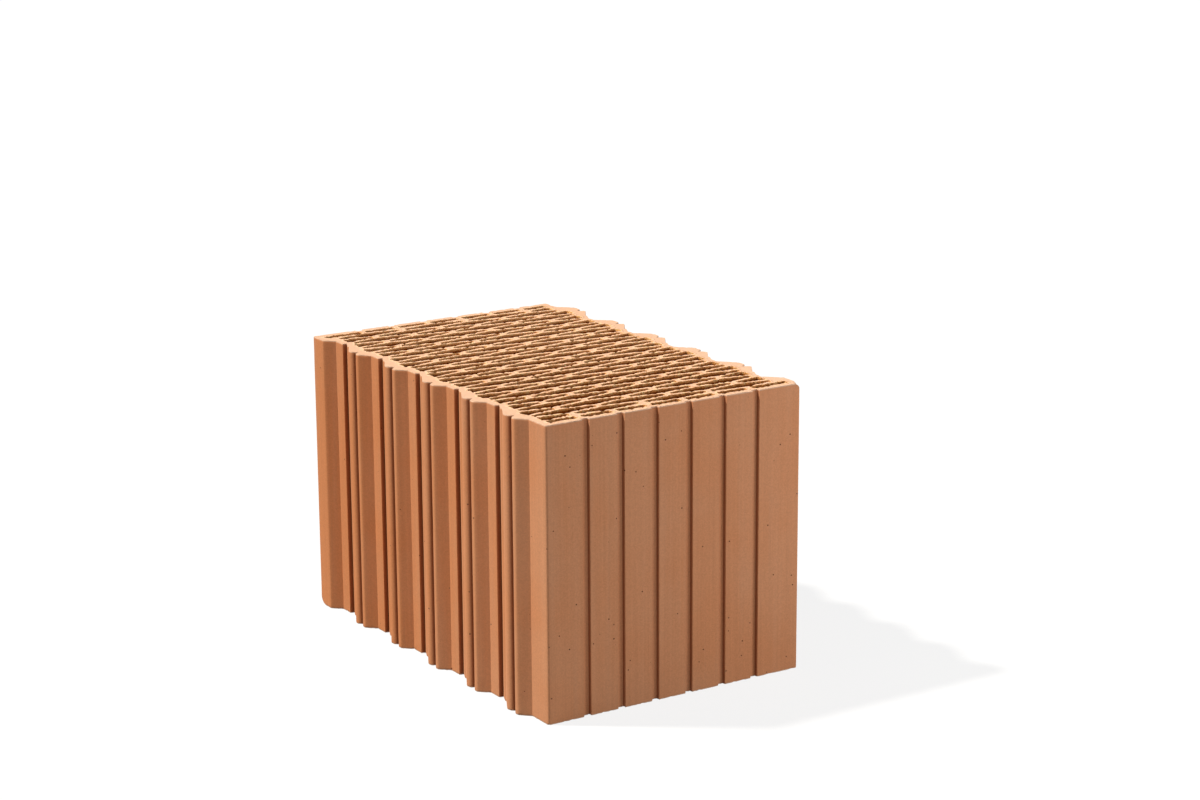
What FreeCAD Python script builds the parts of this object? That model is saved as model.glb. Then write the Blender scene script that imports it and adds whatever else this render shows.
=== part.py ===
import FreeCAD, Part
import math
import os
import re

import Sketcher

# A hollow clay block for a thick outer wall, extruded and fired as one piece.
# X runs along the wall, Y through the wall and Z up. In the body's own frame x = 0 is the
# floor of the tongue side, y = 0 the outer plaster face and z = 0 the bed face.
# The rows of perforations lie along X, so heat takes a long way round through thin webs.

NODE = "clay_block"

# name, millimetres or a count, meaning
DIMENSIONS = [
    ("block_length", 248, "along the wall, tongue side floor to ridge side face"),
    ("block_depth", 380, "through the wall, plaster face to plaster face"),
    ("block_height", 249, "ground bed face to ground bed face"),
    ("end_wall", 7.5, "clay between a perforation and the head face"),
    ("front_wall", 6.9, "clay between the plaster face and the slot row behind it"),
    ("slot_width", 6.5, "slots of the first and last row, through the wall"),
    ("slot_web", 5.5, "cross webs that part the slots of a row"),
    ("least_web", 1.4, "least clay between the last lozenges and the slots behind them"),
    ("row_pitch", 10.9, "from one row of perforations to the next"),
    ("column_pitch", 66.2, "from one lozenge to the next in its row"),
    ("first_node", 37.4, "tongue side floor to the first cross web"),
    ("node_web", 6.6, "clay between the ends of two lozenges of a row"),
    ("lozenge_width", 11.8, "widest place of a lozenge"),
    ("lozenge_end", 4, "blunt end of a lozenge"),
    ("pairs_per_tongue", 3, "pairs of lozenge rows from one tongue to the next"),
    ("last_strip", 20, "least depth of the plain strip after the last tongue"),
    ("tongue_start", 25.2, "plain strip before the first tongue"),
    ("tongue_projection", 8.5, "tongue tip beyond the tongue side floor"),
    ("tongue_flank", 8.5, "run of the slope up to the tongue"),
    ("tongue_land", 4.5, "first tip of the tongue"),
    ("second_land", 4.5, "second tip of the tongue"),
    ("back_flank", 15.5, "run of the slope down from the tongue"),
    ("notch_width", 8, "mouth of the notch that parts the two tips"),
    ("notch_depth", 5.5, "depth of that notch"),
    ("recess_gap", 2.5, "floor between the tongue and the recess behind it"),
    ("recess_run", 7.8, "long slope of the recess"),
    ("recess_return", 1.4, "short slope of the recess"),
    ("recess_depth", 3.5, "recess below the tongue side floor"),
    ("groove_start", 23, "plain strip before the first groove of the ridge side"),
    ("groove_depth", 13, "groove floor below the ridge side face"),
    ("groove_flank", 13, "run of the slope down to the groove floor"),
    ("groove_floor", 8, "width of the groove floor"),
    ("shoulder_depth", 9, "shoulder below the ridge side face"),
    ("shoulder_rise", 8.5, "run of the slope from the groove floor to the shoulder"),
    ("shoulder_width", 2.5, "width of the shoulder"),
    ("ridge_flank", 14, "run of the slope from the shoulder to the ridge"),
    ("ridge_land", 2, "first tip of the ridge"),
    ("plaster_mouth", 7, "mouth of a plaster groove"),
    ("plaster_floor", 6, "floor of a plaster groove"),
    ("plaster_depth", 3, "depth of a plaster groove"),
    ("tip_round", 2.2, "rounded tips of tongues and ridges"),
    ("nose_round", 4, "rounder second tip of a tongue"),
    ("corner_round", 2, "rounded upright corners of the block"),
]

doc = FreeCAD.newDocument("hollow_clay_block")
sheet = doc.addObject("Spreadsheet::Sheet", "dims")
for row, (alias, size, meaning) in enumerate(DIMENSIONS, start=1):
    sheet.set("A%d" % row, meaning)
    sheet.set("B%d" % row, str(size))
    sheet.setAlias("B%d" % row, alias)
doc.recompute()


def named(expression):
    """Put the sheet's name before each of its aliases in an expression."""
    aliases = "|".join(alias for alias, size, meaning in DIMENSIONS)
    return re.sub(r"\b(%s)\b" % aliases, r"dims.\1", expression)


def number(expression):
    """The present value of an expression in the sheet's aliases."""
    return float(sheet.evalExpression(named(expression)))


def plus(*terms):
    """The sum of several expressions."""
    return " + ".join("( %s )" % term for term in terms)


def minus(whole, *terms):
    """An expression less several others."""
    return " - ".join("( %s )" % term for term in (whole,) + terms)


def times(count, size):
    """A count of one expression."""
    return "( %s ) * ( %s )" % (count, size)


def whole_times(room, size):
    """How often a size goes into the room."""
    return "floor(( %s ) / ( %s ))" % (room, size)


# Places that several features share
half_column = "column_pitch / 2"
tongue_tip = minus("0", "tongue_projection")
notch_level = plus(tongue_tip, "notch_depth")
ridge_face = "block_length"
groove_level = minus(ridge_face, "groove_depth")
shoulder_level = minus(ridge_face, "shoulder_depth")
field_right = minus(shoulder_level, "end_wall")
field_front = plus("front_wall", "slot_width")
field_back = minus("block_depth", field_front)
half_lozenge = "( column_pitch - node_web ) / 2"

# Rows of lozenges come in pairs, a first row and the staggered second row behind it
first_row = plus("front_wall", "slot_width / 2", "row_pitch")
pair_pitch = "2 * row_pitch"
pair_room = minus(plus(field_back, "slot_width / 2"), field_front, "lozenge_width / 2", "least_web")
pair_count = whole_times(pair_room, pair_pitch)
tongue_pitch = times("pairs_per_tongue", pair_pitch)
tongue_room = minus("block_depth", "tongue_start", "last_strip")
tongue_count = whole_times(tongue_room, tongue_pitch)
unit_count = "min( %s , %s )" % (tongue_count, whole_times(pair_count, "pairs_per_tongue"))
web_count = plus(whole_times(minus(field_right, "first_node"), half_column), "1")

body = doc.addObject("PartDesign::Body", "ClayBlock")
body.Label = NODE
body.setExpression("Placement.Base.x", named("0 - ( block_length - tongue_projection ) / 2"))
body.setExpression("Placement.Base.y", named("0 - block_depth / 2"))


def origin(role):
    """A plane or an axis of the body's own origin."""
    return next(item for item in body.Origin.OriginFeatures if item.Role == role)


class Drawing:
    """Lines, arcs and limits of one sketch, gathered before they go into it."""

    def __init__(self):
        self.curves = []
        self.marks = []
        self.limits = []
        self.bound = {}

    def limit(self, *parts):
        self.limits.append(parts)

    def hold(self, kind, geometry, end, expression):
        """Tie a distance from the sketch's origin, or a radius, to an expression."""
        self.bound[len(self.limits)] = expression
        if kind == "Radius":
            self.limits.append((kind, geometry, number(expression)))
        else:
            self.limits.append((kind, -1, 1, geometry, end, number(expression)))


def round_corner(before, corner, after, radius):
    """Where a rounded corner's arc starts and ends, and its centre."""
    back = (before - corner).normalize()
    on = (after - corner).normalize()
    half = back.getAngle(on) / 2
    run = radius / math.tan(half)
    centre = corner + (back + on).normalize() * (radius / math.sin(half))
    return corner + back * run, corner + on * run, centre


def arc_between(start, end, centre, radius, left_turn):
    """An arc in the sketch's sense, always anticlockwise."""
    first, last = (start, end) if left_turn else (end, start)
    angles = [math.atan2(place.y - centre.y, place.x - centre.x) for place in (first, last)]
    circle = Part.Circle(centre, FreeCAD.Vector(0, 0, 1), radius)
    return Part.ArcOfCircle(circle, angles[0], angles[1])


def draw_outline(drawing, corners):
    """One closed ring of corners, each an x, a y and, where it is rounded, a radius."""
    total = len(corners)
    places = [FreeCAD.Vector(number(corner[0]), number(corner[1]), 0) for corner in corners]
    entry, leaving, arcs = list(places), list(places), {}
    for i, corner in enumerate(corners):
        if len(corner) == 3:
            before, after = places[i - 1], places[(i + 1) % total]
            radius = number(corner[2])
            entry[i], leaving[i], centre = round_corner(before, places[i], after, radius)
            left_turn = (places[i] - before).cross(after - places[i]).z > 0
            arcs[i] = (arc_between(entry[i], leaving[i], centre, radius, left_turn), left_turn)
    first_side = len(drawing.curves)
    for i in range(total):
        drawing.curves.append(Part.LineSegment(leaving[i], entry[(i + 1) % total]))
    for i, corner in enumerate(corners):
        side_before, side_after = first_side + (i - 1) % total, first_side + i
        if i not in arcs:
            drawing.limit("Coincident", side_before, 2, side_after, 1)
            drawing.hold("DistanceX", side_after, 1, corner[0])
            drawing.hold("DistanceY", side_after, 1, corner[1])
            continue
        arc, left_turn = arcs[i]
        bend = len(drawing.curves)
        drawing.curves.append(arc)
        start, end = (1, 2) if left_turn else (2, 1)
        drawing.limit("Tangent", side_before, 2, bend, start)
        drawing.limit("Tangent", bend, end, side_after, 1)
        drawing.hold("Radius", bend, 0, corner[2])
        drawing.marks.append((places[i], side_before, side_after, corner))


def profile(name, *outlines):
    """A sketch of one or more closed outlines on the bed face."""
    drawing = Drawing()
    for corners in outlines:
        draw_outline(drawing, corners)
    for i, (place, side_before, side_after, corner) in enumerate(drawing.marks):
        mark = len(drawing.curves) + i
        drawing.limit("PointOnObject", mark, 1, side_before)
        drawing.limit("PointOnObject", mark, 1, side_after)
        drawing.hold("DistanceX", mark, 1, corner[0])
        drawing.hold("DistanceY", mark, 1, corner[1])
    sketch = body.newObject("Sketcher::SketchObject", name)
    sketch.AttachmentSupport = (origin("XY_Plane"), [""])
    sketch.MapMode = "FlatFace"
    sketch.addGeometry(drawing.curves, False)
    sketch.addGeometry([Part.Point(mark[0]) for mark in drawing.marks], True)
    sketch.addConstraint([Sketcher.Constraint(*parts) for parts in drawing.limits])
    for index, expression in drawing.bound.items():
        sketch.setExpression("Constraints[%d]" % index, named(expression))
    return sketch


def extrude(kind, name, *outlines):
    """A Pad that adds outlines over the block's height, or a Pocket that cuts them away."""
    before = body.Shape.Volume if body.Tip else 0
    sketch = profile(name + "Plan", *outlines)
    feature = body.newObject("PartDesign::" + kind, name)
    feature.Profile = sketch
    feature.setExpression("Length", named("block_height"))
    feature.Reversed = kind == "Pocket"
    doc.recompute()
    gain = body.Shape.Volume - before
    if (gain > 0) != (kind == "Pad"):
        raise RuntimeError("%s changes the volume by %.1f" % (name, gain))
    return feature


def repeat(name, features, axis, spacing, count):
    """Copies of some features along one axis."""
    pattern = body.newObject("PartDesign::LinearPattern", name)
    pattern.Originals = features
    pattern.Direction = (origin(axis), [""])
    pattern.Mode = "Spacing"
    pattern.setExpression("Offset", named(spacing))
    pattern.setExpression("Occurrences", named(count))
    body.Tip = pattern
    doc.recompute()
    return pattern


def stations(start, steps):
    """Places one after the other, each a step behind the last."""
    places = [start]
    for step in steps:
        places.append(plus(places[-1], step))
    return places


def outline(levels, places, radii):
    """Corners from x levels and y places, rounded where a radius is given for the number."""
    corners = []
    for i, (level, place) in enumerate(zip(levels, places)):
        corners.append((level, place, radii[i]) if i in radii else (level, place))
    return corners


def slab():
    """The plain slab between the tongue side floor and the groove floor."""
    extrude("Pad", "Slab", [
        ("0", "0", "corner_round"),
        (groove_level, "0"),
        (groove_level, "block_depth", "corner_round"),
        ("0", "block_depth"),
    ])


def tongue_side():
    """Double-tipped tongues, each with a recess behind it, and a last strip at tip level."""
    steps = ["tongue_flank", "tongue_land", "notch_width / 2", "notch_width / 2"]
    steps += ["second_land", "back_flank", "recess_gap", "recess_run", "recess_return"]
    places = stations("tongue_start", steps)
    levels = ["0", tongue_tip, tongue_tip, notch_level, tongue_tip, tongue_tip, "0"]
    radii = {1: "tip_round", 2: "tip_round", 4: "nose_round", 5: "nose_round"}
    corners = outline(levels, places, radii)
    tongue = extrude("Pad", "Tongue", corners)
    repeat("Tongues", [tongue], "Y_Axis", tongue_pitch, tongue_count)
    recess = extrude("Pocket", "Recess", outline(["0", "recess_depth", "0"], places[-3:], {}))
    repeat("Recesses", [recess], "Y_Axis", tongue_pitch, tongue_count)
    last_start = plus("tongue_start", times(tongue_count, tongue_pitch))
    extrude("Pad", "LastStrip", [
        ("0", last_start),
        (tongue_tip, plus(last_start, "tongue_flank"), "tip_round"),
        (tongue_tip, "block_depth", "corner_round"),
        ("0", "block_depth"),
    ])


def ridge_side():
    """A first strip and notched ridges, with grooves between them for the neighbour's tongues."""
    extrude("Pad", "FirstStrip", [
        (groove_level, "0"),
        (ridge_face, "0", "corner_round"),
        (ridge_face, "groove_start", "tip_round"),
        (groove_level, plus("groove_start", "groove_flank")),
    ])
    steps = ["shoulder_rise", "shoulder_width", "ridge_flank", "ridge_land"]
    steps += ["notch_width / 2", "notch_width / 2"]
    places = stations(plus("groove_start", "groove_flank", "groove_floor"), steps)
    next_groove = plus("groove_start", tongue_pitch)
    places += [next_groove, plus(next_groove, "groove_flank")]
    levels = [groove_level, shoulder_level, shoulder_level, ridge_face, ridge_face]
    levels += [minus(ridge_face, "notch_depth"), ridge_face, ridge_face, groove_level]
    corners = outline(levels, places, dict.fromkeys((3, 4, 6, 7), "tip_round"))
    ridge = extrude("Pad", "Ridge", corners)
    repeat("Ridges", [ridge], "Y_Axis", tongue_pitch, tongue_count)


def plaster_keys():
    """Upright grooves in the two plaster faces that key the plaster."""
    back_floor = minus("block_depth", "plaster_depth")
    for name, face, floor in [("Outer", "0", "plaster_depth"), ("Inner", "block_depth", back_floor)]:
        key = extrude("Pocket", name + "Key", [
            (minus("first_node", "plaster_mouth / 2"), face),
            (plus("first_node", "plaster_mouth / 2"), face),
            (plus("first_node", "plaster_floor / 2"), floor),
            (minus("first_node", "plaster_floor / 2"), floor),
        ])
        repeat(name + "Keys", [key], "X_Axis", half_column, web_count)


def lozenge(left, widest, right, middle):
    """A lozenge in plan, or half of one where an end lies at the widest place."""
    def pair(across, width):
        half = width + " / 2"
        return (across, minus(middle, half)), (across, plus(middle, half))

    places = []
    if left != widest:
        places.append(pair(left, "lozenge_end"))
    places.append(pair(widest, "lozenge_width"))
    if right != widest:
        places.append(pair(right, "lozenge_end"))
    return [front for front, back in places] + [back for front, back in reversed(places)]


def lozenge_row(first_centre, middle, left_end, right_end):
    """The lozenges of one row, cut off at its two ends."""
    least = number("lozenge_width")
    start, stop = number(left_end), number(right_end)
    outlines = []
    for column in range(int(number(whole_times(right_end, "column_pitch"))) + 2):
        widest = plus(first_centre, times(str(column), "column_pitch"))
        left, right = minus(widest, half_lozenge), plus(widest, half_lozenge)
        if number(right) < start + least or number(left) > stop - least:
            continue
        if number(left) < start:
            left = left_end
        if number(right) > stop:
            right = right_end
        if number(widest) < start + least / 2:
            widest = left
        if number(widest) > stop - least / 2:
            widest = right
        outlines.append(lozenge(left, widest, right, middle))
    return outlines


def lozenge_pair(front, first_ends, second_ends):
    """Two staggered rows, with the left and right end of each."""
    first = lozenge_row(minus("first_node", half_column), front, *first_ends)
    return first + lozenge_row("first_node", plus(front, "row_pitch"), *second_ends)


def slots(left, right, front, back):
    """One row of slots parted by cross webs."""
    webs = int(number(web_count))
    outlines = []
    for i in range(webs + 1):
        start, stop = left, right
        if i > 0:
            node = plus("first_node", times(str(i - 1), half_column))
            start = plus(node, "slot_web / 2")
        if i < webs:
            node = plus("first_node", times(str(i), half_column))
            stop = minus(node, "slot_web / 2")
        outlines.append([(start, front), (stop, front), (stop, back), (start, back)])
    return outlines


def perforations():
    """Slot rows behind the plaster faces and the staggered lozenges between them.

    The end wall stays even: rows reach into tongues and ridges, and stop short of grooves.
    """
    groove_end = minus(groove_level, "end_wall")
    plain = ("end_wall", field_right)
    behind_tongue = (plus(notch_level, "end_wall"), groove_end)
    behind_recess = (plus("recess_depth", "end_wall"), minus(ridge_face, "notch_depth", "end_wall"))
    per_tongue = int(number("pairs_per_tongue"))
    inner_ends = (plus(tongue_tip, "end_wall"), groove_end)
    outer_slots = slots("end_wall", minus(ridge_face, "end_wall"), "front_wall", field_front)
    extrude("Pocket", "OuterSlots", *outer_slots)
    inner_slots = slots(*inner_ends, field_back, minus("block_depth", "front_wall"))
    extrude("Pocket", "InnerSlots", *inner_slots)
    for pair in range(int(number(unit_count)) * per_tongue, int(number(pair_count))):
        front = plus(first_row, times(str(pair), pair_pitch))
        ends = ("end_wall", groove_end)
        extrude("Pocket", "LastPair%d" % pair, *lozenge_pair(front, ends, ends))
    unit = []
    for pair in range(per_tongue):
        front = plus(first_row, times(str(pair), pair_pitch))
        first_ends = behind_tongue if pair == 1 else plain
        second_ends = behind_recess if pair == per_tongue - 1 else plain
        outlines = lozenge_pair(front, first_ends, second_ends)
        unit.append(extrude("Pocket", "TonguePair%d" % pair, *outlines))
    repeat("AllTonguePairs", unit, "Y_Axis", tongue_pitch, unit_count)


slab()
tongue_side()
ridge_side()
plaster_keys()
perforations()

for item in doc.Objects:
    if "Invalid" in item.State or "Error" in item.State:
        raise RuntimeError("%s did not recompute: %s" % (item.Label, item.State))
shape = body.Shape
if shape.isNull() or not shape.isValid() or len(shape.Solids) != 1:
    raise RuntimeError("the block is not one valid solid")

os.makedirs("parts", exist_ok=True)
shape.exportStep("parts/%s.step" % body.Label)
box = shape.BoundBox
print("%s: %.1f x %.1f x %.1f mm" % (body.Label, box.XLength, box.YLength, box.ZLength))
print("volume %.1f cm3, %d faces" % (shape.Volume / 1000, len(shape.Faces)))
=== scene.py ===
import math
from collections import namedtuple

import bpy
import numpy as np
from mathutils import Matrix, Vector, geometry, noise
from mathutils.kdtree import KDTree


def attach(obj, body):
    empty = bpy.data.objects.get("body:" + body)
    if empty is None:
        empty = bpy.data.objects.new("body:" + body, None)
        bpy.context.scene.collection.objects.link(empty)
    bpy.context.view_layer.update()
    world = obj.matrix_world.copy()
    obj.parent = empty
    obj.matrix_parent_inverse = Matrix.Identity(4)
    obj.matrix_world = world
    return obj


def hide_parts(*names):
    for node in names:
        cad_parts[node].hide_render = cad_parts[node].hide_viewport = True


# A hollow clay block on a white floor. The block is one extruded and fired piece, so one
# dressed mesh stands for it: the same plan, with soft tips, worn corners and crumbly webs.

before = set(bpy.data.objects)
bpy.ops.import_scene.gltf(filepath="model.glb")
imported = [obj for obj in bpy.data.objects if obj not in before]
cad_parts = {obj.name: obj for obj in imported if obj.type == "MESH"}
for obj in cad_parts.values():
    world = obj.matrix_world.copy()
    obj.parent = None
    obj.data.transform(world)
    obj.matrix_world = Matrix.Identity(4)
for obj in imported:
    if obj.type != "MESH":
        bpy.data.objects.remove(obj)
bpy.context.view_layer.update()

# Sizes of the block in millimetres: x from the floor between the tongues, y from the near plaster face
LENGTH, DEPTH, HEIGHT = 248.0, 380.0, 249.0
END_WALL, FRONT_WALL = 7.5, 6.9
SLOT_WIDTH, SLOT_WEB = 6.5, 5.5
ROW_PITCH, ROWS, ROWS_PER_TONGUE = 10.9, 32, 6
NOTCH_ROW, RECESS_ROW = 2, 5
COLUMN_PITCH, COLUMNS, FIRST_NODE = 66.2, 5, 37.4
HALF_LOZENGE, LOZENGE_WIDTH, LOZENGE_END = 29.8, 11.8, 4.0
KEY_MOUTH, KEY_FLOOR, KEY_DEPTH, KEYS = 7.0, 6.0, 3.0, 6

# Tongues and ridges of the two head faces
TONGUES, TONGUE_PITCH, TONGUE_START = 5, 65.4, 25.2
TONGUE_FLANK, TONGUE_LAND, BACK_FLANK = 8.5, 4.5, 15.5
NOTCH_WIDTH, NOTCH_DEPTH = 8.0, 5.5
RECESS_GAP, RECESS_RUN, RECESS_RETURN, RECESS_DEPTH = 2.5, 7.8, 1.4, 3.5
GROOVE_START, GROOVE_FLANK, GROOVE_FLOOR, GROOVE_DEPTH = 23.0, 13.0, 8.0, 13.0
SHOULDER_RISE, SHOULDER_WIDTH, SHOULDER_DEPTH = 8.5, 2.5, 9.0
RIDGE_FLANK, RIDGE_LAND, SECOND_RIDGE_LAND = 14.0, 2.0, 9.4

# Levels that several features share, along x
TONGUE_TIP = -8.5
TONGUE_NOTCH = TONGUE_TIP + NOTCH_DEPTH
GROOVE_LEVEL = LENGTH - GROOVE_DEPTH
SHOULDER_LEVEL = LENGTH - SHOULDER_DEPTH
RIDGE_NOTCH = LENGTH - NOTCH_DEPTH

# Radii of rounded corners in plan
TIP_ROUND, NOSE_ROUND, RIDGE_ROUND, NOTCH_ROUND = 2.2, 4.0, 1.6, 0.6
CORNER_ROUND, END_ROUND, CUT_END_ROUND = 2.0, 1.3, 2.0

# How finely the rings and bed faces are divided
ARC_STEP, OUTLINE_STEP, HOLE_STEP, BED_STEP = 0.7, 2.4, 2.2, 2.7

# Height of the worn band at the rim of the outline and of a hole, and the levels of the rings
EDGE_WEAR, HOLE_WEAR = 0.8, 2.4
HOLE_LEVELS = [0, HOLE_WEAR, 60, 200, 240, 245, HEIGHT - HOLE_WEAR, HEIGHT]
LOW_LEVELS = [0, EDGE_WEAR, 2, 3.5, 5.5, 8, 11, 15, 30, 60, 95]
HIGH_LEVELS = [130, 165, 200, 225, 236, 240.5, 243, 245, 246.6, HEIGHT - EDGE_WEAR, HEIGHT]
OUTLINE_LEVELS = LOW_LEVELS + HIGH_LEVELS

# The two worn corners: radius, and how far the wear reaches in from the face
NEAR_CORNER_WEAR, NEAR_CORNER_REACH = 7.0, 11.0
FAR_CORNER_WEAR, FAR_CORNER_REACH = 11.0, 15.0

# Unevenness of the walls: size of the bumps, and the scale of the height, which draws them out
FINE_BUMP, FINE_DRAW = 5.0, 0.6
BROAD_BUMP, BROAD_DRAW, BROAD_SHARE = 17.0, 0.2, 0.8
CRUMB, RIM_LOSS = 2.6, 0.2
BED_PIT, BED_PIT_DEPTH = 2.2, 0.25

# Where the noise is read, so that no kind of unevenness repeats another
BROAD_OFFSET, CRUMB_OFFSET, PIT_LEVEL = 90, 40, 7

# Loose points of the bed faces: how far they are shifted, and how clear of the rings they stay
LOOSE_SHIFT, LOOSE_CLEARANCE = 0.7, 1.75

# Edges bent more than this stay sharp
SHARP_ANGLE = math.radians(32)

# Share of painted shade in the inner corners of the plaster grooves, where their walls lie in shade
CORNER_PAINTED_SHADE = 0.46

MILLIMETRE = 0.001
SHIFT_X, SHIFT_Y = (LENGTH + TONGUE_TIP) / 2, DEPTH / 2

# Numbers of the finishes, and what differs between the outer skin and the wall of a hole
SKIN, GROUND, PERFORATION = 0, 1, 2
Wall = namedtuple("Wall", "finish levels roughness crumb_in crumb_down")
OUTER_SKIN = Wall(SKIN, OUTLINE_LEVELS, roughness=0.12, crumb_in=0.8, crumb_down=0.5)
HOLE_WALL = Wall(PERFORATION, HOLE_LEVELS, roughness=0.45, crumb_in=0.9, crumb_down=1.2)


def rounded(corners):
    """A ring of (x, y, radius) corners as points, with an arc at each rounded corner."""
    points = []
    total = len(corners)
    for i, (x, y, radius) in enumerate(corners):
        here = Vector((x, y))
        if radius == 0:
            points.append(here)
            continue
        back = (Vector(corners[i - 1][:2]) - here).normalized()
        on = (Vector(corners[(i + 1) % total][:2]) - here).normalized()
        half = back.angle(on) / 2
        run = radius / math.tan(half)
        centre = here + (back + on).normalized() * (radius / math.sin(half))
        start = here + back * run - centre
        end = here + on * run - centre
        steps = max(2, round(radius * (math.pi - 2 * half) / ARC_STEP))
        turn = start.angle_signed(end)
        for step in range(steps + 1):
            swing = Matrix.Rotation(-turn * step / steps, 2)
            points.append(centre + swing @ start)
    return points


def divided(points, step):
    """A closed ring with no side longer than the step."""
    ring = []
    for here, there in zip(points, points[1:] + points[:1]):
        pieces = max(1, math.ceil((there - here).length / step))
        ring += [here.lerp(there, k / pieces) for k in range(pieces)]
    return ring


def profile(start, steps):
    """Corners (x, y, radius) along a head face, from steps of (x, run in y, radius)."""
    corners = []
    y = start
    for x, run, radius in steps:
        y += run
        corners.append((x, y, radius))
    return corners


def repeated(corners, order):
    """The corners of one tongue or ridge at each of the given places along a head face."""
    return [(x, y + TONGUE_PITCH * k, radius) for k in order for x, y, radius in corners]


def ridge():
    """One ridge, from the groove before it to the groove behind it."""
    return profile(GROOVE_START + GROOVE_FLANK, [
        (GROOVE_LEVEL, GROOVE_FLOOR, 0),
        (SHOULDER_LEVEL, SHOULDER_RISE, 0),
        (SHOULDER_LEVEL, SHOULDER_WIDTH, 0),
        (LENGTH, RIDGE_FLANK, TIP_ROUND),
        (LENGTH, RIDGE_LAND, RIDGE_ROUND),
        (RIDGE_NOTCH, NOTCH_WIDTH / 2, 0),
        (LENGTH, NOTCH_WIDTH / 2, TIP_ROUND),
        (LENGTH, SECOND_RIDGE_LAND, TIP_ROUND),
        (GROOVE_LEVEL, GROOVE_FLANK, 0),
    ])


def tongue():
    """One tongue with its two tips, and the recess behind it."""
    return profile(TONGUE_START, [
        (0, 0, 0),
        (TONGUE_TIP, TONGUE_FLANK, TIP_ROUND),
        (TONGUE_TIP, TONGUE_LAND, TIP_ROUND),
        (TONGUE_NOTCH, NOTCH_WIDTH / 2, NOTCH_ROUND),
        (TONGUE_TIP, NOTCH_WIDTH / 2, NOSE_ROUND),
        (TONGUE_TIP, TONGUE_LAND, NOSE_ROUND),
        (0, BACK_FLANK, 0),
        (0, RECESS_GAP, 0),
        (RECESS_DEPTH, RECESS_RUN, 0),
        (0, RECESS_RETURN, 0),
    ])


def key_corners(face, inward, order):
    """The plaster grooves of one face, in the given order of columns."""
    half_mouth, half_floor = KEY_MOUTH / 2, KEY_FLOOR / 2
    sides = [(-half_mouth, 0), (-half_floor, KEY_DEPTH), (half_floor, KEY_DEPTH), (half_mouth, 0)]
    if inward < 0:
        sides.reverse()
    corners = []
    for k in order:
        middle = FIRST_NODE + COLUMN_PITCH / 2 * k
        corners += [(middle + x, face + inward * depth, 0) for x, depth in sides]
    return corners


def block_outline():
    """The block's outer ring, anticlockwise from the near corner."""
    last_strip = TONGUE_START + TONGUE_PITCH * TONGUES
    ring = [(0, 0, CORNER_ROUND)]
    ring += key_corners(0, 1, range(KEYS))
    ring += [(LENGTH, 0, CORNER_ROUND), (LENGTH, GROOVE_START, TIP_ROUND)]
    ring += [(GROOVE_LEVEL, GROOVE_START + GROOVE_FLANK, 0)]
    ring += repeated(ridge(), range(TONGUES))
    ring += [(GROOVE_LEVEL, DEPTH, CORNER_ROUND)]
    ring += key_corners(DEPTH, -1, reversed(range(KEYS)))
    ring += [(TONGUE_TIP, DEPTH, CORNER_ROUND)]
    ring += [(TONGUE_TIP, last_strip + TONGUE_FLANK, TIP_ROUND), (0, last_strip, 0)]
    ring += repeated(tongue()[::-1], reversed(range(TONGUES)))
    return rounded(ring)


def lozenge(left, widest, right, middle):
    """One perforation, clockwise: a lozenge, or half of one that ends at its widest place."""
    cut_off = widest in (left, right)
    places = [(widest, LOZENGE_WIDTH, CUT_END_ROUND if cut_off else 0)]
    if left != widest:
        places.insert(0, (left, LOZENGE_END, END_ROUND))
    if right != widest:
        places.append((right, LOZENGE_END, END_ROUND))
    front = [(across, middle - width / 2, radius) for across, width, radius in places]
    back = [(across, middle + width / 2, radius) for across, width, radius in places]
    return rounded(back + front[::-1])


def lozenge_row(first_centre, middle, left_end, right_end):
    """The lozenges of one row, cut off at its two ends."""
    rings = []
    for column in range(COLUMNS):
        widest = first_centre + COLUMN_PITCH * column
        left = max(widest - HALF_LOZENGE, left_end)
        right = min(widest + HALF_LOZENGE, right_end)
        if right - left < LOZENGE_WIDTH:
            continue
        if widest < left_end + LOZENGE_WIDTH / 2:
            widest = left
        if widest > right_end - LOZENGE_WIDTH / 2:
            widest = right
        rings.append(lozenge(left, widest, right, middle))
    return rings


def row_ends(row):
    """Left and right end of a row of lozenges, a wall's thickness from the head faces there."""
    left, right = 0, SHOULDER_LEVEL
    place = row % ROWS_PER_TONGUE
    if row >= ROWS_PER_TONGUE * TONGUES:
        right = GROOVE_LEVEL
    elif place == NOTCH_ROW:
        left, right = TONGUE_NOTCH, GROOVE_LEVEL
    elif place == RECESS_ROW:
        left, right = RECESS_DEPTH, RIDGE_NOTCH
    return left + END_WALL, right - END_WALL


def slot_row(left, right, front):
    """A row of slots behind a plaster face, clockwise rings."""
    edges = [left]
    for k in range(KEYS):
        web = FIRST_NODE + COLUMN_PITCH / 2 * k
        edges += [web - SLOT_WEB / 2, web + SLOT_WEB / 2]
    edges.append(right)
    back = front + SLOT_WIDTH
    rings = []
    for start, stop in zip(edges[::2], edges[1::2]):
        corners = [(start, front), (start, back), (stop, back), (stop, front)]
        rings.append(rounded([(x, y, END_ROUND) for x, y in corners]))
    return rings


def perforations():
    """Every hole of the block in plan."""
    rings = slot_row(END_WALL, LENGTH - END_WALL, FRONT_WALL)
    rear_slots = DEPTH - FRONT_WALL - SLOT_WIDTH
    rings += slot_row(TONGUE_TIP + END_WALL, GROOVE_LEVEL - END_WALL, rear_slots)
    first_row = FRONT_WALL + SLOT_WIDTH / 2 + ROW_PITCH
    for row in range(ROWS):
        first_centre = FIRST_NODE - (COLUMN_PITCH / 2 if row % 2 == 0 else 0)
        rings += lozenge_row(first_centre, first_row + ROW_PITCH * row, *row_ends(row))
    return rings


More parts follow.
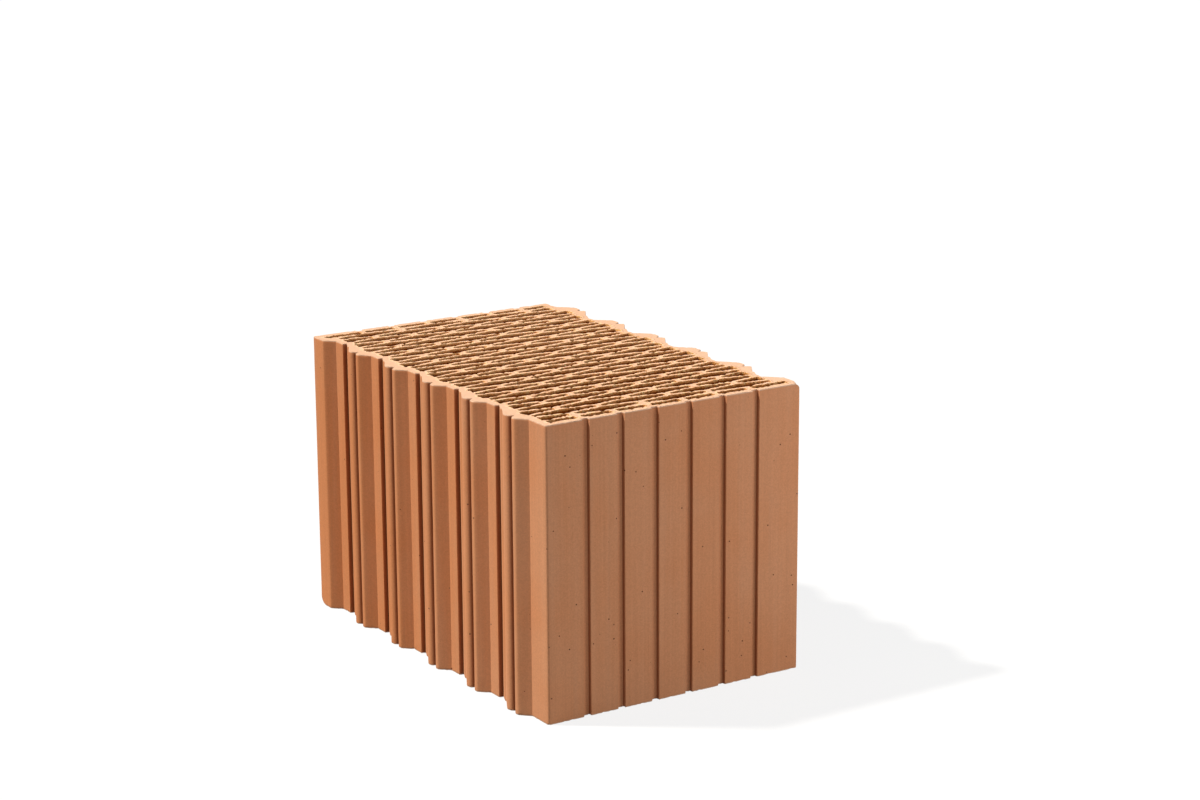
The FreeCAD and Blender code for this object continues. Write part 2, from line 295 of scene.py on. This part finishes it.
def ring_normals(ring):
    """Directions out of the clay at each point of a ring."""
    places = np.array([(p.x, p.y) for p in ring])
    along = np.roll(places, -1, axis=0) - np.roll(places, 1, axis=0)
    along /= np.linalg.norm(along, axis=1)[:, None]
    return np.stack([along[:, 1], -along[:, 0]], axis=1)


def shelter(ring):
    """How far each point of a ring lies in a hollow, as the share of its outlook that is blocked."""
    neighbours = 13
    places = np.array([(p.x, p.y) for p in ring])
    outward = ring_normals(ring)
    onward = np.stack([-outward[:, 1], outward[:, 0]], axis=1)
    blocked = np.zeros(len(ring))
    for side in (1, -1):
        horizon = np.zeros(len(ring))
        for step in range(1, neighbours + 1):
            way = np.roll(places, -side * step, axis=0) - places
            rise = (way * outward).sum(axis=1)
            run = side * (way * onward).sum(axis=1)
            horizon = np.maximum(horizon, np.arctan2(rise, run))
        blocked += np.maximum(horizon, 0.0) / math.pi
    return blocked


def painted_shade_shares(ring):
    """Shares of painted shade along the outline: in hollows of the head faces, in corners of the
    grooves.
    """
    # Painted shade grows with how deep a point lies in a hollow
    shares = shelter(ring)
    half_pitch = COLUMN_PITCH / 2
    rounding, face_margin, corner_margin = 0.01, 0.2, 0.1
    for i, place in enumerate(ring):
        depth = min(place.y, DEPTH - place.y)
        if depth > KEY_DEPTH + rounding:
            continue
        across = abs((place.x - FIRST_NODE + half_pitch / 2) % half_pitch - half_pitch / 2)
        on_flank = KEY_FLOOR / 2 - corner_margin < across < KEY_MOUTH / 2
        in_corner = depth > face_margin and on_flank
        # Painted shade in the inner corners of the plaster grooves, none elsewhere on the plaster faces
        shares[i] = CORNER_PAINTED_SHADE if in_corner else 0.0
    return shares


def unevenness(x, y, z, size):
    """Smooth noise between about -1 and 1, with features of the given size in millimetres."""
    return noise.noise(Vector((x, y, z)) / size)


def worn_corner(along, up, inward, radius, reach):
    """Distances along and up from a corner that is rounded less and less with the way inward."""
    fade = 1 - min(1.0, max(0.0, inward / reach))
    bend = radius * fade * fade * (3 - 2 * fade)
    if along >= bend or up >= bend:
        return along, up
    from_centre = Vector((along - bend, up - bend))
    if from_centre.length <= bend:
        return along, up
    on_arc = from_centre.normalized() * bend
    return on_arc.x + bend, on_arc.y + bend


def worn_place(x, y, z):
    """Round the two corners that are worn: top near right, and bottom far left."""
    margin = 1
    near, far = NEAR_CORNER_REACH + margin, FAR_CORNER_REACH + margin
    if x > LENGTH - near and z > HEIGHT - near and y < near:
        wear = (NEAR_CORNER_WEAR, NEAR_CORNER_REACH)
        along, down = worn_corner(LENGTH - x, HEIGHT - z, y, *wear)
        return LENGTH - along, y, HEIGHT - down
    if y > DEPTH - far and z < far and x < TONGUE_TIP + far:
        wear = (FAR_CORNER_WEAR, FAR_CORNER_REACH)
        along, up = worn_corner(DEPTH - y, z, x - TONGUE_TIP, *wear)
        return x, DEPTH - along, up
    return x, y, z


class BlockMesh:
    """Points and faces of the dressed block, gathered before they become one mesh."""

    def __init__(self):
        self.points = []
        self.hollows = []
        self.breadths = []
        self.shoulders = []
        self.faces = []
        self.finishes = []

    def add_point(self, x, y, z, hollow=0.0, breadth=0.0, shoulder=0.0):
        """A point, with shares for painted shade, broad ground clay and the worn shoulder of a hole."""
        self.points.append(worn_place(x, y, z))
        self.hollows.append(hollow)
        self.breadths.append(breadth)
        self.shoulders.append(shoulder)
        return len(self.points) - 1

    def add_face(self, corners, finish):
        """A face with the number of its finish."""
        self.faces.append(corners)
        self.finishes.append(finish)

    def add_row(self, ring, wall, level, hollows):
        """The points of a wall at one level: uneven, and crumbled at the bed faces."""
        outside = wall.finish == SKIN
        at_edge = level in (0, HEIGHT)
        row = []
        for place, normal, hollow in zip(ring, ring_normals(ring), hollows):
            fine = unevenness(place.x, place.y, level * FINE_DRAW, FINE_BUMP)
            broad = unevenness(place.x + BROAD_OFFSET, place.y, level * BROAD_DRAW, BROAD_BUMP)
            push = wall.roughness * fine + wall.roughness * BROAD_SHARE * broad
            push = min(push, 0.0) if outside else push
            drop = 0.0
            if at_edge:
                crumble = max(0.0, unevenness(place.x, place.y + CRUMB_OFFSET, level, CRUMB))
                push -= RIM_LOSS + wall.crumb_in * crumble
                drop = wall.crumb_down * crumble
            height = level - drop if level == HEIGHT else level + drop
            x, y = place.x + normal[0] * push, place.y + normal[1] * push
            row.append(self.add_point(x, y, height, hollow, float(outside), float(at_edge)))
        return row

    def add_wall(self, ring, wall):
        """The upright wall of a ring. Returns its lowest and highest row of points."""
        outside = wall.finish == SKIN
        # Only the outer skin gets painted shade, in its hollows and groove corners
        hollows = painted_shade_shares(ring) if outside else np.zeros(len(ring))
        rows = [self.add_row(ring, wall, level, hollows) for level in wall.levels]
        for k, (low, high) in enumerate(zip(rows, rows[1:])):
            worn_band = outside and k in (0, len(rows) - 2)
            for i in range(len(ring)):
                following = (i + 1) % len(ring)
                corners = (low[i], low[following], high[following], high[i])
                self.add_face(corners, GROUND if worn_band else wall.finish)
        return rows[0], rows[-1]

    def add_bed(self, loops, level, inner, upward):
        """A bed face between the rings, with loose points where its clay is broad."""
        flat, edges, known = [], [], []
        for loop in loops:
            start = len(flat)
            for i, index in enumerate(loop):
                flat.append(Vector(self.points[index][:2]))
                known.append(index)
                edges.append((start + i, start + (i + 1) % len(loop)))
        outer = list(range(len(loops[0])))
        inside_only, nearness = 1, 1e-5
        found = geometry.delaunay_2d_cdt(flat + inner, edges, [outer], inside_only, nearness)
        places, faces, origins = found[0], found[2], found[3]
        numbers = []
        for place, origin in zip(places, origins):
            on_ring = [index for index in origin if index < len(flat)]
            if on_ring:
                numbers.append(known[on_ring[0]])
                continue
            dip = BED_PIT_DEPTH * abs(unevenness(place.x, place.y, PIT_LEVEL, BED_PIT))
            height = level - dip if upward else level + dip
            numbers.append(self.add_point(place.x, place.y, height, breadth=1.0))
        hole_of = {index: number for number, loop in enumerate(loops[1:]) for index in loop}
        for corners in faces:
            named = [numbers[corner] for corner in corners]
            holes = {hole_of.get(index) for index in named}
            across_hole = len(holes) == 1 and None not in holes
            if not across_hole:
                self.add_face(tuple(named) if upward else tuple(reversed(named)), GROUND)


def loose_points(rings):
    """Points scattered over a bed face, clear of every ring."""
    tree = KDTree(sum(len(ring) for ring in rings))
    places = [place for ring in rings for place in ring]
    for number, place in enumerate(places):
        tree.insert((place.x, place.y, 0), number)
    tree.balance()
    inner = []
    for column in range(int((LENGTH - TONGUE_TIP) / BED_STEP) + 1):
        for row in range(int(DEPTH / BED_STEP) + 1):
            x = TONGUE_TIP + BED_STEP * (column + 0.5 * (row % 2))
            y = BED_STEP * row
            # The noise is read far apart, so that neighbours are shifted differently
            x += LOOSE_SHIFT * unevenness(x * 3.1, y * 3.3, 1, 2)
            y += LOOSE_SHIFT * unevenness(x * 3.7, y * 2.9, 9, 2)
            if tree.find((x, y, 0))[2] > LOOSE_CLEARANCE:
                inner.append(Vector((x, y)))
    return inner


def inside(place, ring):
    """Whether a point lies inside a ring."""
    hit = False
    for here, there in zip(ring, ring[1:] + ring[:1]):
        if (here.y > place.y) != (there.y > place.y):
            across = here.x + (place.y - here.y) / (there.y - here.y) * (there.x - here.x)
            hit ^= place.x < across
    return hit


def on_clay(places, outline, holes):
    """The points that lie on clay: inside the outline and outside every hole."""
    boxes = []
    for ring in holes:
        xs, ys = [p.x for p in ring], [p.y for p in ring]
        boxes.append((min(xs), max(xs), min(ys), max(ys), ring))
    kept = []
    for place in places:
        if not inside(place, outline):
            continue
        near = [
            ring for left, right, front, back, ring in boxes
            if left < place.x < right and front < place.y < back
        ]
        if not any(inside(place, ring) for ring in near):
            kept.append(place)
    return kept


def dressed_block():
    """The whole block as one mesh object in metres."""
    outline = divided(block_outline(), OUTLINE_STEP)
    holes = [divided(ring, HOLE_STEP) for ring in perforations()]
    inner = on_clay(loose_points([outline] + holes), outline, holes)
    clay = BlockMesh()
    bottoms, tops = [], []
    for ring, wall in [(outline, OUTER_SKIN)] + [(ring, HOLE_WALL) for ring in holes]:
        bottom, top = clay.add_wall(ring, wall)
        bottoms.append(bottom)
        tops.append(top)
    clay.add_bed(bottoms, 0.0, inner, upward=False)
    clay.add_bed(tops, HEIGHT, inner, upward=True)
    mesh = bpy.data.meshes.new("clay_block_dressed")
    points = [
        ((x - SHIFT_X) * MILLIMETRE, (y - SHIFT_Y) * MILLIMETRE, z * MILLIMETRE)
        for x, y, z in clay.points
    ]
    mesh.from_pydata(points, [], clay.faces)
    mesh.polygons.foreach_set("material_index", clay.finishes)
    layers = [("hollow", clay.hollows), ("breadth", clay.breadths), ("shoulder", clay.shoulders)]
    for name, values in layers:
        mesh.attributes.new(name, "FLOAT", "POINT").data.foreach_set("value", values)
    mesh.shade_smooth()
    mesh.set_sharp_from_angle(angle=SHARP_ANGLE)
    mesh.update()
    block = bpy.data.objects.new("clay_block_dressed", mesh)
    bpy.context.scene.collection.objects.link(block)
    return block


# Helpers for shader nodes


def node(tree, kind, **settings):
    """A new node with its settings."""
    made = tree.nodes.new(kind)
    for name, value in settings.items():
        setattr(made, name, value)
    return made


def join(tree, source, target):
    """A link from an output socket to an input socket."""
    tree.links.new(source, target)


def give(tree, value, socket):
    """Feed an input socket from another socket, or set it to a fixed value."""
    if hasattr(value, "links"):
        join(tree, value, socket)
    else:
        socket.default_value = value


def noise_texture(tree, vector, scale, detail=2.0, roughness=0.5):
    """A noise texture's factor at a scale per unit of the vector."""
    made = node(tree, "ShaderNodeTexNoise")
    made.inputs["Scale"].default_value = scale
    made.inputs["Detail"].default_value = detail
    made.inputs["Roughness"].default_value = roughness
    join(tree, vector, made.inputs["Vector"])
    return made.outputs["Fac"]


def spread(tree, value, low, high, bottom=0.0, top=1.0):
    """A value stretched from one span to another and held inside it."""
    made = node(tree, "ShaderNodeMapRange")
    for name, number in [("From Min", low), ("From Max", high), ("To Min", bottom), ("To Max", top)]:
        made.inputs[name].default_value = number
    join(tree, value, made.inputs["Value"])
    return made.outputs["Result"]


def blended(tree, factor, first, second, kind="MIX"):
    """Two colours mixed by a factor. Each is a socket or a fixed colour."""
    made = node(tree, "ShaderNodeMix", data_type="RGBA", blend_type=kind)
    for value, name in [(factor, "Factor_Float"), (first, "A_Color"), (second, "B_Color")]:
        give(tree, value, next(s for s in made.inputs if s.identifier == name))
    return next(s for s in made.outputs if s.identifier == "Result_Color")


def computed(tree, operation, first, second):
    """A Math node's result. Each operand is a socket or a number."""
    made = node(tree, "ShaderNodeMath", operation=operation)
    give(tree, first, made.inputs[0])
    give(tree, second, made.inputs[1])
    return made.outputs["Value"]


def product(tree, first, second):
    """Two values multiplied."""
    return computed(tree, "MULTIPLY", first, second)


def sum_of_shares(tree, first, first_share, second, second_share):
    """Shares of two values added up."""
    return computed(tree, "ADD", product(tree, first, first_share), product(tree, second, second_share))


def stretched(tree, vector, scale):
    """A coordinate scaled along each axis."""
    made = node(tree, "ShaderNodeMapping")
    made.inputs["Scale"].default_value = scale
    join(tree, vector, made.inputs["Vector"])
    return made.outputs["Vector"]


def attribute(tree, name):
    """The value of one of the mesh's own point layers."""
    return node(tree, "ShaderNodeAttribute", attribute_name=name).outputs["Fac"]


def new_group(name, inputs, outputs):
    """An empty node group with named sockets, and its two end nodes."""
    group = bpy.data.node_groups.new(name, "ShaderNodeTree")
    for label, kind, value in inputs:
        socket = group.interface.new_socket(label, in_out="INPUT", socket_type=kind)
        if value is not None:
            socket.default_value = value
    for label, kind in outputs:
        group.interface.new_socket(label, in_out="OUTPUT", socket_type=kind)
    return group, node(group, "NodeGroupInput"), node(group, "NodeGroupOutput")


# Effects that the clay finishes share


def firing_tints():
    """Slow shifts of colour over the fired clay, and how far to the rear a place lies."""
    inputs = [
        ("Position", "NodeSocketVector", None),
        ("Clay", "NodeSocketColor", (0.6, 0.26, 0.13, 1)),
        ("Redder", "NodeSocketColor", (0.6, 0.23, 0.1, 1)),
        ("Paler", "NodeSocketColor", (0.6, 0.31, 0.18, 1)),
    ]
    outputs = [("Colour", "NodeSocketColor"), ("Rear", "NodeSocketFloat")]
    group, start, end = new_group("firing_tints", inputs, outputs)
    position = start.outputs["Position"]
    axes = node(group, "ShaderNodeSeparateXYZ")
    join(group, position, axes.inputs["Vector"])
    depth = axes.outputs["Y"]
    deeper = spread(group, depth, low=-0.17, high=0.12, top=0.8)
    clouds = noise_texture(group, position, scale=14, detail=3.0)
    blotches = spread(group, clouds, low=0.38, high=0.66, top=0.45)
    red_share = computed(group, "ADD", deeper, blotches)
    colour = blended(group, red_share, start.outputs["Clay"], start.outputs["Redder"])
    upright = stretched(group, position, (90, 90, 4))
    streaks = noise_texture(group, upright, scale=1.0, detail=3.0)
    pale_share = spread(group, streaks, low=0.5, high=0.8, top=0.3)
    colour = blended(group, pale_share, colour, start.outputs["Paler"])
    join(group, colour, end.inputs["Colour"])
    join(group, spread(group, depth, low=-0.13, high=0.09), end.inputs["Rear"])
    return group


def pores():
    """Small open pores far apart: a mask that is 1 in their middle."""
    inputs = [
        ("Position", "NodeSocketVector", None),
        ("Spacing", "NodeSocketFloat", 60.0),
        ("Share", "NodeSocketFloat", 0.3),
        ("Size", "NodeSocketFloat", 0.05),
    ]
    group, start, end = new_group("pores", inputs, [("Mask", "NodeSocketFloat")])
    cells = node(group, "ShaderNodeTexVoronoi")
    join(group, start.outputs["Position"], cells.inputs["Vector"])
    join(group, start.outputs["Spacing"], cells.inputs["Scale"])
    pick = node(group, "ShaderNodeSeparateColor")
    join(group, cells.outputs["Color"], pick.inputs["Color"])
    smallest, steepness = 0.4, 2.5
    chosen = computed(group, "LESS_THAN", pick.outputs["Red"], start.outputs["Share"])
    larger = computed(group, "ADD", pick.outputs["Green"], smallest)
    reach = product(group, start.outputs["Size"], larger)
    way_out = computed(group, "DIVIDE", cells.outputs["Distance"], reach)
    depth = computed(group, "MAXIMUM", computed(group, "SUBTRACT", 1.0, way_out), 0.0)
    steep = computed(group, "MINIMUM", product(group, depth, steepness), 1.0)
    join(group, product(group, steep, chosen), end.inputs["Mask"])
    return group


def grains():
    """Coarse grains of grog and burnt-out fibre: a height and a speckle of tones."""
    inputs = [("Position", "NodeSocketVector", None), ("Scale", "NodeSocketFloat", 700.0)]
    outputs = [("Height", "NodeSocketFloat"), ("Speckle", "NodeSocketFloat")]
    group, start, end = new_group("grains", inputs, outputs)
    scaled = node(group, "ShaderNodeVectorMath", operation="SCALE")
    join(group, start.outputs["Position"], scaled.inputs[0])
    join(group, start.outputs["Scale"], scaled.inputs["Scale"])
    position = scaled.outputs["Vector"]
    coarse = noise_texture(group, position, scale=0.55, detail=2.0, roughness=0.6)
    fine = noise_texture(group, position, scale=1.7, detail=3.0, roughness=0.65)
    join(group, sum_of_shares(group, coarse, 0.6, fine, 0.4), end.inputs["Height"])
    cells = node(group, "ShaderNodeTexVoronoi")
    join(group, position, cells.inputs["Vector"])
    cells.inputs["Scale"].default_value = 1.0
    tone = node(group, "ShaderNodeSeparateColor")
    join(group, cells.outputs["Color"], tone.inputs["Color"])
    join(group, tone.outputs["Red"], end.inputs["Speckle"])
    return group


def placed(tree, group, position, **values):
    """A group node with its Position joined and its other inputs set."""
    made = node(tree, "ShaderNodeGroup", node_tree=group)
    join(tree, position, made.inputs["Position"])
    for name, value in values.items():
        made.inputs[name.capitalize()].default_value = value
    return made


# The three clay finishes. Colours are linear red, green and blue, and alpha.

SKIN_TINTS = {"clay": (0.59, 0.262, 0.129, 1), "redder": (0.585, 0.218, 0.085, 1)}
# Colour of the painted shade in the skin's hollows and groove corners
SKIN_SHADE_COLOUR = (0.27, 0.09, 0.032, 1)
DRAW_LINES = (420, 420, 6)
PORE_SHADE, PORE_DEPTH = (0.09, 0.03, 0.012, 1), 3.0
BED_TINTS = {
    "clay": (0.655, 0.425, 0.3, 1),
    "redder": (0.655, 0.392, 0.257, 1),
    "paler": (0.675, 0.475, 0.35, 1),
}
WEB_CLAY, WEB_SHARE = (0.86, 0.53, 0.345, 1), 0.9
WEB_GAP = (0.5, 0.205, 0.06, 1)
WEB_STRAW = (0.78, 0.55, 0.26, 1)
# Hole wall tints kept far darker than the clay, as painted shade deep in the holes
HOLE_SHADE_TINTS = {
    "clay": (0.33, 0.09, 0.011, 1),
    "redder": (0.36, 0.1, 0.013, 1),
    "paler": (0.44, 0.155, 0.03, 1),
}
# Rim colours at the near side and at the rear: the rear one is lighter, as painted light
RIM_NEAR, RIM_REAR = (0.8, 0.385, 0.125, 1), (0.97, 0.54, 0.215, 1)
HOLE_GAP = (0.16, 0.045, 0.008, 1)
HOLE_STRAW = (0.78, 0.54, 0.26, 1)


def clay_material(name, roughness, gloss):
    """A matt clay shader, its tree and the object's own coordinates."""
    material = bpy.data.materials.new(name)
    material.use_nodes = True
    tree = material.node_tree
    shader = tree.nodes["Principled BSDF"]
    shader.inputs["Roughness"].default_value = roughness
    shader.inputs["Specular IOR Level"].default_value = gloss
    position = node(tree, "ShaderNodeTexCoord").outputs["Object"]
    return material, tree, shader, position


def raised(tree, shader, height, distance, strength):
    """Bump from a height in units of the distance, joined to the shader."""
    bump = node(tree, "ShaderNodeBump")
    bump.inputs["Distance"].default_value = distance
    bump.inputs["Strength"].default_value = strength
    join(tree, height, bump.inputs["Height"])
    join(tree, bump.outputs["Normal"], shader.inputs["Normal"])


def skin_finish(tints, pore_spots, grain):
    """The smooth extruded skin: slow tints, painted shade in hollows, faint draw lines and scattered
    pores.
    """
    material, tree, shader, position = clay_material("extruded_clay_skin", roughness=0.78, gloss=0.25)
    tint = placed(tree, tints, position, **SKIN_TINTS)
    # Painted shade: the skin darkens towards this colour in hollows and groove corners
    skin_shade_share = spread(tree, attribute(tree, "hollow"), low=0.28, high=0.46, top=0.8)
    colour = blended(tree, skin_shade_share, tint.outputs["Colour"], SKIN_SHADE_COLOUR)
    spots = placed(tree, pore_spots, position, spacing=90.0, share=0.9, size=0.055)
    colour = blended(tree, spots.outputs["Mask"], colour, PORE_SHADE)
    grit = placed(tree, grain, position, scale=900.0)
    speck = spread(tree, grit.outputs["Speckle"], low=0.0, high=1.0, bottom=0.94, top=1.05)
    colour = blended(tree, 1.0, colour, speck, "MULTIPLY")
    lines = noise_texture(tree, stretched(tree, position, DRAW_LINES), scale=1.0, detail=2.0)
    drawn = spread(tree, lines, low=0.3, high=0.7, bottom=0.965, top=1.03)
    colour = blended(tree, 1.0, colour, drawn, "MULTIPLY")
    join(tree, colour, shader.inputs["Base Color"])
    relief = sum_of_shares(tree, lines, 0.5, grit.outputs["Height"], 0.5)
    height = computed(tree, "SUBTRACT", relief, product(tree, spots.outputs["Mask"], PORE_DEPTH))
    raised(tree, shader, height, distance=0.00035, strength=0.5)
    return material


def ground_finish(tints, grain):
    """The ground bed faces: pale and smooth where broad, lighter and grainy on the narrow webs, whose
    dark gaps fade towards the rear as painted light.
    """
    material, tree, shader, position = clay_material("ground_clay_bed", roughness=0.9, gloss=0.2)
    tint = placed(tree, tints, position, **BED_TINTS)
    grit = placed(tree, grain, position, scale=520.0)
    speckle = grit.outputs["Speckle"]
    narrow = spread(tree, attribute(tree, "breadth"), low=0.5, high=1.0, bottom=1.0, top=0.2)
    # Painted light: dark gaps on the webs fade towards the rear, so the far rows read lighter
    painted_light_fade = spread(tree, tint.outputs["Rear"], low=0.0, high=1.0, bottom=1.0, top=0.3)
    gaps = product(tree, spread(tree, speckle, low=0.2, high=0.4, bottom=0.5, top=0.0), narrow)
    straw = product(tree, spread(tree, speckle, low=0.84, high=0.88, top=0.6), narrow)
    colour = blended(tree, product(tree, narrow, WEB_SHARE), tint.outputs["Colour"], WEB_CLAY)
    colour = blended(tree, product(tree, gaps, painted_light_fade), colour, WEB_GAP)
    colour = blended(tree, straw, colour, WEB_STRAW)
    join(tree, colour, shader.inputs["Base Color"])
    height = product(tree, grit.outputs["Height"], narrow)
    raised(tree, shader, height, distance=0.0016, strength=0.7)
    return material


def perforation_finish(tints, grain):
    """The rough walls of the perforations: torn ochre clay with dark gaps, paler at the rims; the walls
    carry painted shade, much darker than the clay, and towards the rear the rims lighten and the dark
    gaps fade as painted light.
    """
    material, tree, shader, position = clay_material("perforation_clay", roughness=0.92, gloss=0.05)
    # The walls' dark tints are painted shade
    tint = placed(tree, tints, position, **HOLE_SHADE_TINTS)
    grit = placed(tree, grain, position, scale=520.0)
    speckle = grit.outputs["Speckle"]
    worn = spread(tree, attribute(tree, "shoulder"), low=0.0, high=0.7)
    # Painted light: the worn rims grow lighter towards the rear
    rim = blended(tree, tint.outputs["Rear"], RIM_NEAR, RIM_REAR)
    # Painted light: dark gaps on the hole walls fade towards the rear, so the far rows read lighter
    painted_light_fade = spread(tree, tint.outputs["Rear"], low=0.0, high=1.0, bottom=1.0, top=0.3)
    gaps = product(tree, spread(tree, speckle, low=0.2, high=0.5, bottom=0.5, top=0.0), painted_light_fade)
    straw = product(tree, spread(tree, speckle, low=0.8, high=0.86, top=0.8), worn)
    colour = blended(tree, worn, tint.outputs["Colour"], rim)
    colour = blended(tree, gaps, colour, HOLE_GAP)
    colour = blended(tree, straw, colour, HOLE_STRAW)
    join(tree, colour, shader.inputs["Base Color"])
    raised(tree, shader, grit.outputs["Height"], distance=0.0025, strength=1.0)
    return material


def finish_block(block):
    """Give the dressed block its three clay finishes, in the order of their numbers."""
    tints, grain = firing_tints(), grains()
    block.data.materials.append(skin_finish(tints, pores(), grain))
    block.data.materials.append(ground_finish(tints, grain))
    block.data.materials.append(perforation_finish(tints, grain))


# Floor, world, light and camera, in metres except where a comment says otherwise

FLOOR_HALF, FLOOR_LEVEL = 6.0, -0.0002
FLOOR_BOUNCE, FLOOR_WHITE = (0.17, 0.17, 0.17, 1), (0.9, 0.9, 0.9, 1)
FLOOR_GLOW = 0.85
SOFT_WHITE, WARM_WHITE = (1.0, 0.985, 0.97), (1.0, 0.965, 0.89)
WORLD_LEVEL = 0.055
SUN_PLACE, SUN_LEVEL, SUN_ANGLE = (-0.71, 0.524, 1.2), 5.1, math.radians(4)

# The photograph's width and focal length in pixels, the sensor, and the camera's place in the
# block's own millimetres
PHOTO_WIDTH, FOCAL_LENGTH, SENSOR_WIDTH = 1200.0, 2819.81, 36.0
CAMERA_X, CAMERA_Y, CAMERA_Z = -1114.65, -1815.18, 813.6
CAMERA_YAW = math.radians(32.7013)
CAMERA_PITCH = math.radians(14.3287)
CAMERA_ROLL = math.radians(-0.3297)
CAMERA_REACH = 50.0


def seen_rays(tree):
    """1 for the rays that show the white surroundings: straight, in gloss and through glass."""
    path = node(tree, "ShaderNodeLightPath")
    seen = computed(tree, "MAXIMUM", path.outputs["Is Camera Ray"], path.outputs["Is Glossy Ray"])
    return computed(tree, "MAXIMUM", seen, path.outputs["Is Transmission Ray"])


def mixed_shader(tree, share, first, second, output):
    """Two shaders mixed by a share, joined to the tree's output."""
    mixed = node(tree, "ShaderNodeMixShader")
    join(tree, share, mixed.inputs["Fac"])
    join(tree, first, mixed.inputs[1])
    join(tree, second, mixed.inputs[2])
    join(tree, mixed.outputs["Shader"], tree.nodes[output].inputs["Surface"])


def white_floor():
    """A wide pale floor that shows white and keeps a soft shadow."""
    mesh = bpy.data.meshes.new("floor")
    signs = [(-1, -1), (1, -1), (1, 1), (-1, 1)]
    corners = [(FLOOR_HALF * x, FLOOR_HALF * y, FLOOR_LEVEL) for x, y in signs]
    mesh.from_pydata(corners, [], [(0, 1, 2, 3)])
    floor = bpy.data.objects.new("floor", mesh)
    bpy.context.scene.collection.objects.link(floor)
    material = bpy.data.materials.new("white_floor")
    material.use_nodes = True
    tree = material.node_tree
    seen = seen_rays(tree)
    shader = tree.nodes["Principled BSDF"]
    join(tree, blended(tree, seen, FLOOR_BOUNCE, FLOOR_WHITE), shader.inputs["Base Color"])
    shader.inputs["Roughness"].default_value = 1.0
    shader.inputs["Specular IOR Level"].default_value = 0.0
    lit = node(tree, "ShaderNodeEmission")
    lit.inputs["Strength"].default_value = 1.0
    share = product(tree, seen, FLOOR_GLOW)
    mixed_shader(tree, share, shader.outputs["BSDF"], lit.outputs["Emission"], "Material Output")
    mesh.materials.append(material)


def studio_world():
    """Soft even light from all round, white where the camera sees it."""
    world = bpy.data.worlds.new("studio")
    bpy.context.scene.world = world
    world.use_nodes = True
    tree = world.node_tree
    soft = tree.nodes["Background"]
    soft.inputs["Color"].default_value = SOFT_WHITE + (1,)
    soft.inputs["Strength"].default_value = WORLD_LEVEL
    white = node(tree, "ShaderNodeBackground")
    white.inputs["Color"].default_value = (1, 1, 1, 1)
    white.inputs["Strength"].default_value = 1.0
    first, second = soft.outputs["Background"], white.outputs["Background"]
    mixed_shader(tree, seen_rays(tree), first, second, "World Output")


def lamp(name, kind, place, energy, colour):
    """A lamp at a place that shines towards the block's foot, and isn't seen itself."""
    light = bpy.data.lights.new(name, kind)
    light.energy = energy
    light.color = colour
    holder = bpy.data.objects.new(name, light)
    holder.rotation_euler = Vector(place).to_track_quat("Z", "Y").to_euler()
    holder.location = place
    holder.visible_camera = False
    bpy.context.scene.collection.objects.link(holder)
    return light


def soft_box(name, place, power, width, height):
    """A soft box that shines on the block."""
    box = lamp(name, "AREA", place, power, SOFT_WHITE)
    box.shape = "RECTANGLE"
    box.size = width
    box.size_y = height


def studio_lamps():
    """A hard key high behind the block on the left, and two soft boxes before its plaster face."""
    key = lamp("key", "SUN", SUN_PLACE, SUN_LEVEL, WARM_WHITE)
    key.angle = SUN_ANGLE
    soft_box("front_box", (-1.3, -4.26, 1.35), power=47.0, width=0.7, height=2.0)
    soft_box("right_box", (0.62, -0.72, 0.26), power=3.3, width=0.35, height=0.5)


def photo_camera():
    """The photograph's view, without a shift of the lens."""
    data = bpy.data.cameras.new("photo_camera")
    data.sensor_fit = "HORIZONTAL"
    data.sensor_width = SENSOR_WIDTH
    data.lens = SENSOR_WIDTH * FOCAL_LENGTH / PHOTO_WIDTH
    data.clip_end = CAMERA_REACH
    camera = bpy.data.objects.new("photo_camera", data)
    level = math.cos(CAMERA_PITCH)
    sideways, ahead = math.sin(CAMERA_YAW), math.cos(CAMERA_YAW)
    forward = Vector((sideways * level, ahead * level, -math.sin(CAMERA_PITCH)))
    right = Vector((ahead, -sideways, 0))
    up = right.cross(forward)
    turned_right = math.cos(CAMERA_ROLL) * right + math.sin(CAMERA_ROLL) * up
    turned_up = math.cos(CAMERA_ROLL) * up - math.sin(CAMERA_ROLL) * right
    turned = Matrix((turned_right, turned_up, -forward)).transposed().to_4x4()
    place = Vector((CAMERA_X - SHIFT_X, CAMERA_Y - SHIFT_Y, CAMERA_Z)) * MILLIMETRE
    camera.matrix_world = Matrix.Translation(place) @ turned
    bpy.context.scene.collection.objects.link(camera)
    bpy.context.scene.camera = camera


block = dressed_block()
finish_block(block)
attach(block, "root")
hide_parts("clay_block")
white_floor()
studio_world()
studio_lamps()
photo_camera()
bpy.context.scene.view_settings.view_transform = "Standard"
